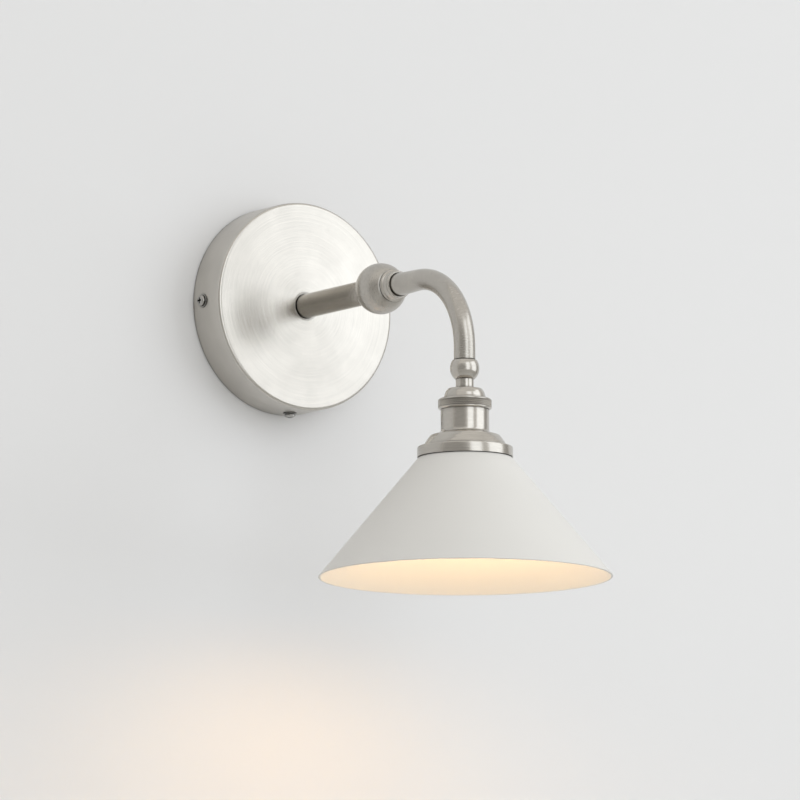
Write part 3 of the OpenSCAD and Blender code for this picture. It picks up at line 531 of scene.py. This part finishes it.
def make_pivot_ball():
    """The large ball: a chamfered mouth round the arm, and a flat face with a broken edge."""
    centre, radius, mouth_r = 101.0, 14.5, 7.7
    flat, flat_edge_r = far_from_wall("pivot_ball"), 8.85
    socket_r, socket_rear = 7.05, 89.7
    chamber_r, chamber_front, seat = 6.6, flat - 4.6, 96.0
    rear = 180 - math.degrees(math.asin(mouth_r / radius))
    front = math.degrees(math.acos((flat - centre) / radius)) + 1.2
    outline = [(chamber_r, seat), (socket_r, seat), (socket_r, socket_rear)]
    outline += arc(centre, radius, rear, front, steps=40)
    outline += [
        (flat_edge_r, flat, SOFT), (THREAD_R, flat, CRISP), (THREAD_R, chamber_front),
        (chamber_r, chamber_front)]
    turned_piece("pivot_ball_turned", outline, on_arm, "root", "pivot_ball", ball_nickel)


def make_swivel_collar():
    """The collar: rear flange, cove, front bead and a countersunk mouth for the elbow."""
    u = near_wall("swivel_collar")
    flange_r, bead_r, bore, seat = 9.0, 7.9, 6.55, u + 2.9
    outline = [
        (THREAD_R, u), (8.5, u, CRISP), (flange_r, u + 0.5, BROKEN), (flange_r, u + 1.35, SOFT),
        (8.45, u + 1.75, CRISP), (8.0, u + 2.0, EASED), (7.55, u + 3.1, 0.8), (7.4, u + 4.5, EASED),
        (7.75, u + 4.8, CRISP), (bead_r, u + 5.3, SOFT), (bead_r, u + 6.5, 0.35),
        (7.35, u + 6.9, BROKEN), (6.8, u + 6.9, FINE), (6.65, u + 6.0), (bore, u + 5.6),
        (bore, seat), (THREAD_R, seat)]
    turned_piece("swivel_collar_turned", outline, on_arm, "head", "swivel_collar", arm_nickel)


def make_neck_ball():
    """The small ball, with a groove under the elbow and a broken edge round the neck."""
    top, foot, radius = top_of("neck_ball"), foot_of("neck_ball") + 0.1, 8.2
    top_r, mouth_r = 6.4, 5.35
    centre = top - math.sqrt(radius ** 2 - top_r ** 2)
    neck_edge_r, groove_edge_r, groove_r, groove_foot = 5.75, 6.85, 6.5, top - 0.85
    low_end = 180 - math.degrees(math.asin(neck_edge_r / radius))
    high_end = math.degrees(math.asin(groove_edge_r / radius))
    outline = [(THREAD_R, foot), (mouth_r, foot, CRISP)]
    outline += arc(centre, radius, low_end, high_end, steps=32)
    outline += [(groove_r, groove_foot, CRISP), (THREAD_R, groove_foot)]
    turned_piece("neck_ball_turned", outline, on_drop, "head", "neck_ball", neck_nickel)


def make_holder_cap():
    """The bell-shaped cap that the knurled ring holds down."""
    top, low = top_of("holder_cap"), foot_of("holder_cap")
    seat, ring_top, ceiling = low + 1.0, top - 5.8, top - 1.2
    bore, side_r, flange_r, hub_r, hub_foot = 11.05, 12.15, 13.3, 7.05, top - 4
    outline = [
        (THREAD_R, hub_foot), (THREAD_R, top - 0.6), (5.55, top, CRISP), (9.5, top, 1.2),
        (10.7, top - 1.7, 1.0), (11.2, top - 3.0, 1.0), (11.7, top - 4.7, 0.8), (side_r, ring_top),
        (side_r, seat), (flange_r, seat), (flange_r, low), (bore, low), (bore, ring_top),
        (10.7, top - 4.7), (10.1, top - 3.0), (9.5, top - 1.9), (8.9, ceiling), (hub_r, ceiling),
        (hub_r, hub_foot)]
    turned_piece("holder_cap_turned", outline, on_drop, "head", "holder_cap", drop_nickel)


# Diamonds round the ring, their height and depth, the band's fade, and how flat their tops are
KNURLS = 60
KNURL_PITCH = 1.95
KNURL_DEPTH = 0.65
KNURL_FADE = 0.15
KNURL_LAND = 1.25


def make_knurled_ring():
    """The ring, with a band of diamond knurling between plain chamfered edges."""
    low, high, radius = foot_of("knurled_ring"), top_of("knurled_ring"), radius_of("knurled_ring")
    bore, lip_r, lip_foot, margin, chamfer = 13.55, 12.35, high - 0.95, 1.05, 0.7
    band_low, band_high = low + margin, high - margin

    def diamonds(r, h, turn):
        if r < radius - HAIR or not band_low < h < band_high:
            return r, h
        along = KNURLS * turn / (2 * math.pi)
        up = (h - band_low) / KNURL_PITCH
        ridge = min(1 - abs(2 * ((along + up) % 1) - 1), 1 - abs(2 * ((along - up) % 1) - 1))
        edge = min(1.0, (h - band_low) / KNURL_FADE, (band_high - h) / KNURL_FADE)
        return r - KNURL_DEPTH * edge * (1 - min(1.0, KNURL_LAND * ridge)), h

    outline = [(bore, low), (radius - chamfer, low, BROKEN), (radius, low + chamfer, EASED)]
    outline += rows(radius, band_low, band_high, step=0.12)
    outline += [
        (radius, high - chamfer, EASED), (radius - chamfer, high, BROKEN), (lip_r, high),
        (lip_r, lip_foot), (bore, lip_foot)]
    turned_piece("knurled_ring_cut", outline, on_drop, "holder_ring", "knurled_ring", knurl_nickel,
                 relief=diamonds, segments=KNURLS * 8)


def screwed(radius, pitch, depth, low, high):
    """A relief that cuts a rounded thread into a side of that radius, faded out at both ends."""
    def cut(r, h, turn):
        if abs(r - radius) > HAIR or not low < h < high:
            return r, h
        wave = 0.5 - 0.5 * math.cos(2 * math.pi * h / pitch - turn)
        fade = min(1.0, (h - low) / pitch, (high - h) / pitch)
        return r - depth * fade * wave, h
    return cut


def make_holder_shell():
    """The shell with its flared foot, and the threaded skirt below it."""
    low, high = foot_of("holder_shell"), top_of("holder_shell")
    foot = top_of("gallery")
    skirt, bore, shell, seat = 12.9, 12.1, 13.5, 12.7
    flare_r, flare_edge, flare_out, flare_up = 14.5, foot + 0.15, 1.0, 2.0
    thread_low, thread_high, seat_foot = low + 0.3, foot - 12, high - 1.5
    thread = screwed(skirt, pitch=2.0, depth=0.5, low=thread_low, high=thread_high)
    outline = [(bore, low), (skirt, low, CRISP)]
    outline += rows(skirt, thread_low, thread_high, step=0.2)
    outline += [(skirt, foot), (flare_r, foot, FINE), (flare_r, flare_edge, FINE)]
    for degrees in (15, 30, 45, 60, 75, 90):
        a = math.radians(degrees)
        outline.append((flare_r - flare_out * math.sin(a),
                        flare_edge + flare_up * (1 - math.cos(a))))
    outline += [(shell, high, CRISP), (seat, high), (seat, seat_foot), (bore, seat_foot)]
    turned_piece("holder_shell_threaded", outline, on_drop, "head", "holder_shell", drop_nickel,
                 relief=thread)


def make_gallery():
    """The two-tier gallery: a sloping upper tier on a flange with a rounded shoulder."""
    top, low = top_of("gallery"), foot_of("gallery")
    tier = top - 7.7
    step_edge = tier - 0.2
    bore, step_r, flange, sheet = 12.95, 23.2, radius_of("gallery"), 1.2
    outline = [
        (bore, top), (14.9, top, EASED), (19.5, top - 1.5, 0.7), (20.9, top - 3.3, 0.6),
        (22.4, top - 5.6, 0.5), (step_r, tier + 0.5, BROKEN), (step_r, step_edge, CRISP),
        (24.0, step_edge, CRISP), (24.25, tier, CRISP), (flange, tier, 1.1), (flange, low, 0.12),
        (flange - sheet, low, CRISP), (flange - sheet, tier - sheet - 0.6, 0.5),
        (22.4, tier - sheet, SOFT), (19.9, top - 3.6), (18.4, top - 2.4), (14.6, top - sheet),
        (bore, top - sheet)]
    turned_piece("gallery_turned", outline, on_drop, "head", "gallery", drop_nickel)


def make_shade():
    """The spun cone, with a rounded shoulder and rim."""
    top, rim = top_of("shade"), foot_of("shade")
    hole, shoulder, wide, sheet = 13.2, 26.0, radius_of("shade"), 1.0
    side = sheet / math.cos(math.atan((wide - shoulder) / (top - rim)))
    outline = [
        (hole, top - sheet), (hole, top), (shoulder - 0.15, top, 1.2), (wide, rim + 0.15, 0.9),
        (wide - side, rim, 0.5), (shoulder - 0.45, top - sheet, 1.0)]
    turned_piece("shade_spun", outline, on_drop, "shade", "shade", shade_paint, segments=256)


def make_bulb_cap():
    """The bulb's rolled screw cap."""
    low, high, radius = foot_of("bulb_cap"), top_of("bulb_cap"), radius_of("bulb_cap")
    bore, plain_end, run_out = radius - 0.5, 0.5, 1.5
    thread = screwed(radius, pitch=2.82, depth=0.42, low=low + run_out, high=high - run_out)
    outline = [(bore, low), (radius, low, CRISP)]
    outline += rows(radius, low + plain_end, high - plain_end, step=0.25)
    outline += [(radius, high, EASED), (bore, high)]
    turned_piece("bulb_cap_rolled", outline, on_drop, "bulb", "bulb_cap", drop_steel,
                 relief=thread, segments=96)


SCREW_OUTWARD = (Vector((1, 0, 0)), Vector((-1, 0, 0)), Vector((0, 0, -1)))
SCREW_BACK = 9.7
SCREW_SEGMENTS = 96


def beside(outward):
    """Places points round a side screw, with heights measured outwards from the arm's axis."""
    ahead = Vector((0, -1, 0))
    across = outward.cross(ahead)

    def place(radius, height, turn):
        forward = SCREW_BACK + radius * math.cos(turn)
        return outward * height + ahead * forward + across * (radius * math.sin(turn))
    return place


def cross_recess(top):
    """A relief for a cross recess in a head whose top is at that height."""
    arm_half, arm_len, depth = 0.42, 1.75, 1.0
    flat_top = top - 0.6

    def press(r, h, turn):
        x, y = abs(r * math.cos(turn)), abs(r * math.sin(turn))
        inside = min(x, y) < arm_half and max(x, y) < arm_len
        return r, h - depth if inside and h > flat_top else h
    return press


def make_side_screws():
    """The pan-head screws of the cover and their washers."""
    lift, height, end = 0.6, 1.8, 53.0
    face = PLATE_R + lift
    top = face + height
    shank, shoulder, head = 2.0, 2.55, 3.2
    outline = [
        (HAIR, end), (shank, end, 0.4), (shank, face), (shoulder, face), (shoulder, face + 0.22),
        (head, face + 0.4, CRISP), (3.12, face + 1.0, SOFT), (2.6, face + 1.6, 0.4),
        (2.1, top - 0.05, EASED)]
    outline += [(shank - 0.1 * k, top) for k in range(20)]
    press = cross_recess(top)
    screws = [revolve(outline, beside(way), SCREW_SEGMENTS, press) for way in SCREW_OUTWARD]
    piece("cover_screws_pan", screws, "root", "cover_screws", screw_steel)
    hole, rim = 2.1, 3.9
    ring = [
        (hole, PLATE_R), (rim, PLATE_R, BROKEN), (rim, PLATE_R + 0.45, BROKEN),
        (3.4, PLATE_R + 0.5, CRISP), (hole, PLATE_R + 0.5)]
    washers = [revolve(ring, beside(way), SCREW_SEGMENTS) for way in SCREW_OUTWARD]
    piece("cover_washers_turned", washers, "root", "cover_washers", screw_steel)


make_backplate_cover()
make_arm()
make_pivot_ball()
make_swivel_collar()
make_neck_ball()
make_holder_cap()
make_knurled_ring()
make_holder_shell()
make_gallery()
make_shade()
make_bulb_cap()
make_side_screws()


# Stage, lamps and camera

def stage_paint(name, colour, grain, depth):
    """A matt wall or floor that the camera sees only from its front."""
    f = Finish(name, colour, 0.9, Specular_IOR_Level=0.1)
    cloud = f.noise(f.place(), 1.5, detail=2.0)
    f.put(f.shader, "Base Color", f.shade_of(cloud, tinted(colour, 0.985), tinted(colour, 1.015)))
    f.bump(f.noise(f.place(), grain, detail=3.0), depth)
    from_behind = f.add("NewGeometry", out="Backfacing")
    to_camera = f.add("LightPath", out="Is Camera Ray")
    hidden = f.math("MULTIPLY", from_behind, to_camera)
    clear = f.add("BsdfTransparent")
    mixed = f.add("MixShader", {0: hidden, 1: f.shader.outputs[0], 2: clear})
    f.put(f.tree.nodes["Material Output"], "Surface", mixed)
    return f.material


HOLE_SIDES = 96
TINY = 1e-9


def pierced(half_x, half_y, centre, radius):
    """Corners and faces of a rectangle with a round hole."""
    cx, cy = centre
    turns = [2 * math.pi * n / HOLE_SIDES for n in range(HOLE_SIDES)]
    for x in (-half_x, half_x):
        for y in (-half_y, half_y):
            turns.append(math.atan2(y - cy, x - cx) % (2 * math.pi))
    corners = []
    for turn in sorted(turns):
        x, y = math.cos(turn), math.sin(turn)
        reach = min((math.copysign(half, way) - from_it) / way
                    for half, way, from_it in ((half_x, x, cx), (half_y, y, cy)) if abs(way) > TINY)
        corners += [(cx + radius * x, cy + radius * y, 0), (cx + reach * x, cy + reach * y, 0)]
    count = len(corners)
    return corners, [(n, n + 1, (n + 3) % count, (n + 2) % count) for n in range(0, count, 2)]


def stage_plane(name, half_x, half_y, place, turn, material, hole=None):
    """A wall or floor; hole is the centre and radius of a round hole in it."""
    mesh = bpy.data.meshes.new(name)
    corners = [(-half_x, -half_y, 0), (half_x, -half_y, 0),
               (half_x, half_y, 0), (-half_x, half_y, 0)]
    faces = [(0, 1, 2, 3)]
    if hole:
        corners, faces = pierced(half_x, half_y, *hole)
    mesh.from_pydata(corners, [], faces)
    mesh.materials.append(material)
    plane = bpy.data.objects.new(name, mesh)
    plane.location = place
    plane.rotation_euler = turn
    bpy.context.scene.collection.objects.link(plane)


WALL_GAP = 0.3 * MM
FLOOR_DROP = 1.6
HALF_WIDE = 5.0
HALF_HIGH = 4.0
wall_paint = stage_paint("wall_paint", (0.81, 0.805, 0.805), 400.0, 20 * MICRON)
floor_paint = stage_paint("floor_paint", (0.68, 0.68, 0.67), 300.0, 20 * MICRON)
# The wall is open behind the backplate, so that a view from behind shows the lit bracket.
wall_opening = ((0, FLOOR_DROP - HALF_HIGH), 58 * MM)
stage_plane("wall", HALF_WIDE, HALF_HIGH, (0, WALL_GAP, HALF_HIGH - FLOOR_DROP),
            (math.pi / 2, 0, 0), wall_paint, wall_opening)
stage_plane("floor", HALF_WIDE, HALF_HIGH, (0, WALL_GAP - HALF_HIGH, -FLOOR_DROP),
            (0, 0, 0), floor_paint)


def towards(azimuth, elevation):
    """Unit vector from the lamp: azimuth 0 is away from the wall, and +X is at 90 degrees."""
    a = math.radians(azimuth)
    e = math.radians(elevation)
    return Vector((math.sin(a) * math.cos(e), -math.cos(a) * math.cos(e), math.sin(e)))


def area_lamp(name, shape, width, height, radiance, colour, place, facing):
    """A flat lamp; radiance 1 renders as white where it is mirrored."""
    light = bpy.data.lights.new(name, "AREA")
    light.shape = shape
    light.size = width
    light.size_y = height
    light.energy = radiance * math.pi * width * height
    light.color = colour
    lamp = bpy.data.objects.new(name, light)
    lamp.location = place
    lamp.rotation_euler = facing.to_track_quat("-Z", "Y").to_euler()
    bpy.context.scene.collection.objects.link(lamp)
    return lamp


AIM = Vector((0, -0.12, -0.06))
DAYLIGHT = (0.880, 0.935, 1.0)
ROOM_LIGHT = (1.0, 0.984, 0.945)
BULB_LIGHT = (1.0, 0.56, 0.20)
WINDOW_ELEVATION = 13
WINDOW_DISTANCE = 2.4
WINDOW_HEIGHT = 2.6


def window(name, azimuth, width, radiance):
    """A tall bright window that faces the wall lamp."""
    way = towards(azimuth, WINDOW_ELEVATION)
    place = AIM + way * WINDOW_DISTANCE
    area_lamp(name, "RECTANGLE", width, WINDOW_HEIGHT, radiance, DAYLIGHT, place, -way)


window("window_right", azimuth=44, width=1.85, radiance=1.18)
window("window_front", azimuth=-8, width=1.15, radiance=1.12)


def bulb_glow():
    """The bulb's warm light that leaves the shade's mouth and falls on the wall."""
    width, length, radiance = 110 * MM, 40 * MM, 4.8
    from_wall, below_rim = 128 * MM, 0.3
    place = Vector((0, -from_wall, (foot_of("shade") - below_rim) * MM))
    down = Vector((0, 0, -1))
    lamp = area_lamp("bulb_glow", "ELLIPSE", width, length, radiance, BULB_LIGHT, place, down)
    lamp.visible_camera = False
    lamp.visible_glossy = False
    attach(lamp, "shade")


bulb_glow()


def studio_world():
    """A pale room: lighter overhead, darker towards the left and the far right."""
    world = bpy.data.worlds.new("studio")
    world.use_nodes = True
    tree = world.node_tree
    background = tree.nodes["Background"]
    direction = tree.nodes.new("ShaderNodeTexCoord").outputs["Generated"]

    def facing(way, low, high, start, end):
        """low to high as the cosine of a direction's angle to way goes from start to end."""
        dot = tree.nodes.new("ShaderNodeVectorMath")
        dot.operation = "DOT_PRODUCT"
        tree.links.new(direction, dot.inputs[0])
        dot.inputs[1].default_value = tuple(way)
        spread = tree.nodes.new("ShaderNodeMapRange")
        spread.interpolation_type = "SMOOTHSTEP"
        tree.links.new(dot.outputs["Value"], spread.inputs["Value"])
        spread.inputs["From Min"].default_value = start
        spread.inputs["From Max"].default_value = end
        spread.inputs["To Min"].default_value = low
        spread.inputs["To Max"].default_value = high
        return spread.outputs["Result"]

    shady_left = facing(towards(-60, 0), low=1.06, high=0.66, start=0.78, end=0.92)
    shady_right = facing(towards(100, 0), low=1.0, high=0.60, start=0.80, end=0.96)
    level = facing((0, 0, 1), low=0.69, high=0.82, start=0.05, end=0.9)
    for shady in (shady_left, shady_right):
        product = tree.nodes.new("ShaderNodeMath")
        product.operation = "MULTIPLY"
        tree.links.new(level, product.inputs[0])
        tree.links.new(shady, product.inputs[1])
        level = product.outputs[0]
    tree.links.new(level, background.inputs["Strength"])
    background.inputs["Color"].default_value = (*ROOM_LIGHT, 1.0)
    bpy.context.scene.world = world


studio_world()


# The photograph's viewpoint: its place in metres, degrees of yaw to the right of +Y, of pitch up
# and of roll, the lens and sensor in mm, and the farthest that the camera sees, in metres
CAMERA_PLACE = (-2.7215, -3.9855, -0.7705)
CAMERA_YAW = 35.1430
CAMERA_PITCH = 8.4770
CAMERA_ROLL = -0.199
LENS = 382.5
SENSOR = 36.0
FARTHEST = 40.0


def photo_camera():
    """The camera at the photograph's viewpoint."""
    yaw = math.radians(CAMERA_YAW)
    pitch = math.radians(CAMERA_PITCH)
    roll = math.radians(CAMERA_ROLL)
    ahead = Vector((math.sin(yaw) * math.cos(pitch), math.cos(yaw) * math.cos(pitch),
                    math.sin(pitch)))
    level = Vector((math.cos(yaw), -math.sin(yaw), 0))
    upright = level.cross(ahead)
    right = level * math.cos(roll) + upright * math.sin(roll)
    up = upright * math.cos(roll) - level * math.sin(roll)
    data = bpy.data.cameras.new("photo_camera")
    data.sensor_width = SENSOR
    data.lens = LENS
    data.clip_end = FARTHEST
    camera = bpy.data.objects.new("photo_camera", data)
    axes = Matrix((right, up, -ahead)).transposed()
    camera.matrix_world = Matrix.Translation(CAMERA_PLACE) @ axes.to_4x4()
    bpy.context.scene.collection.objects.link(camera)
    bpy.context.scene.camera = camera


photo_camera()
bpy.context.scene.view_settings.view_transform = "Standard"

bpy.context.view_layer.update()
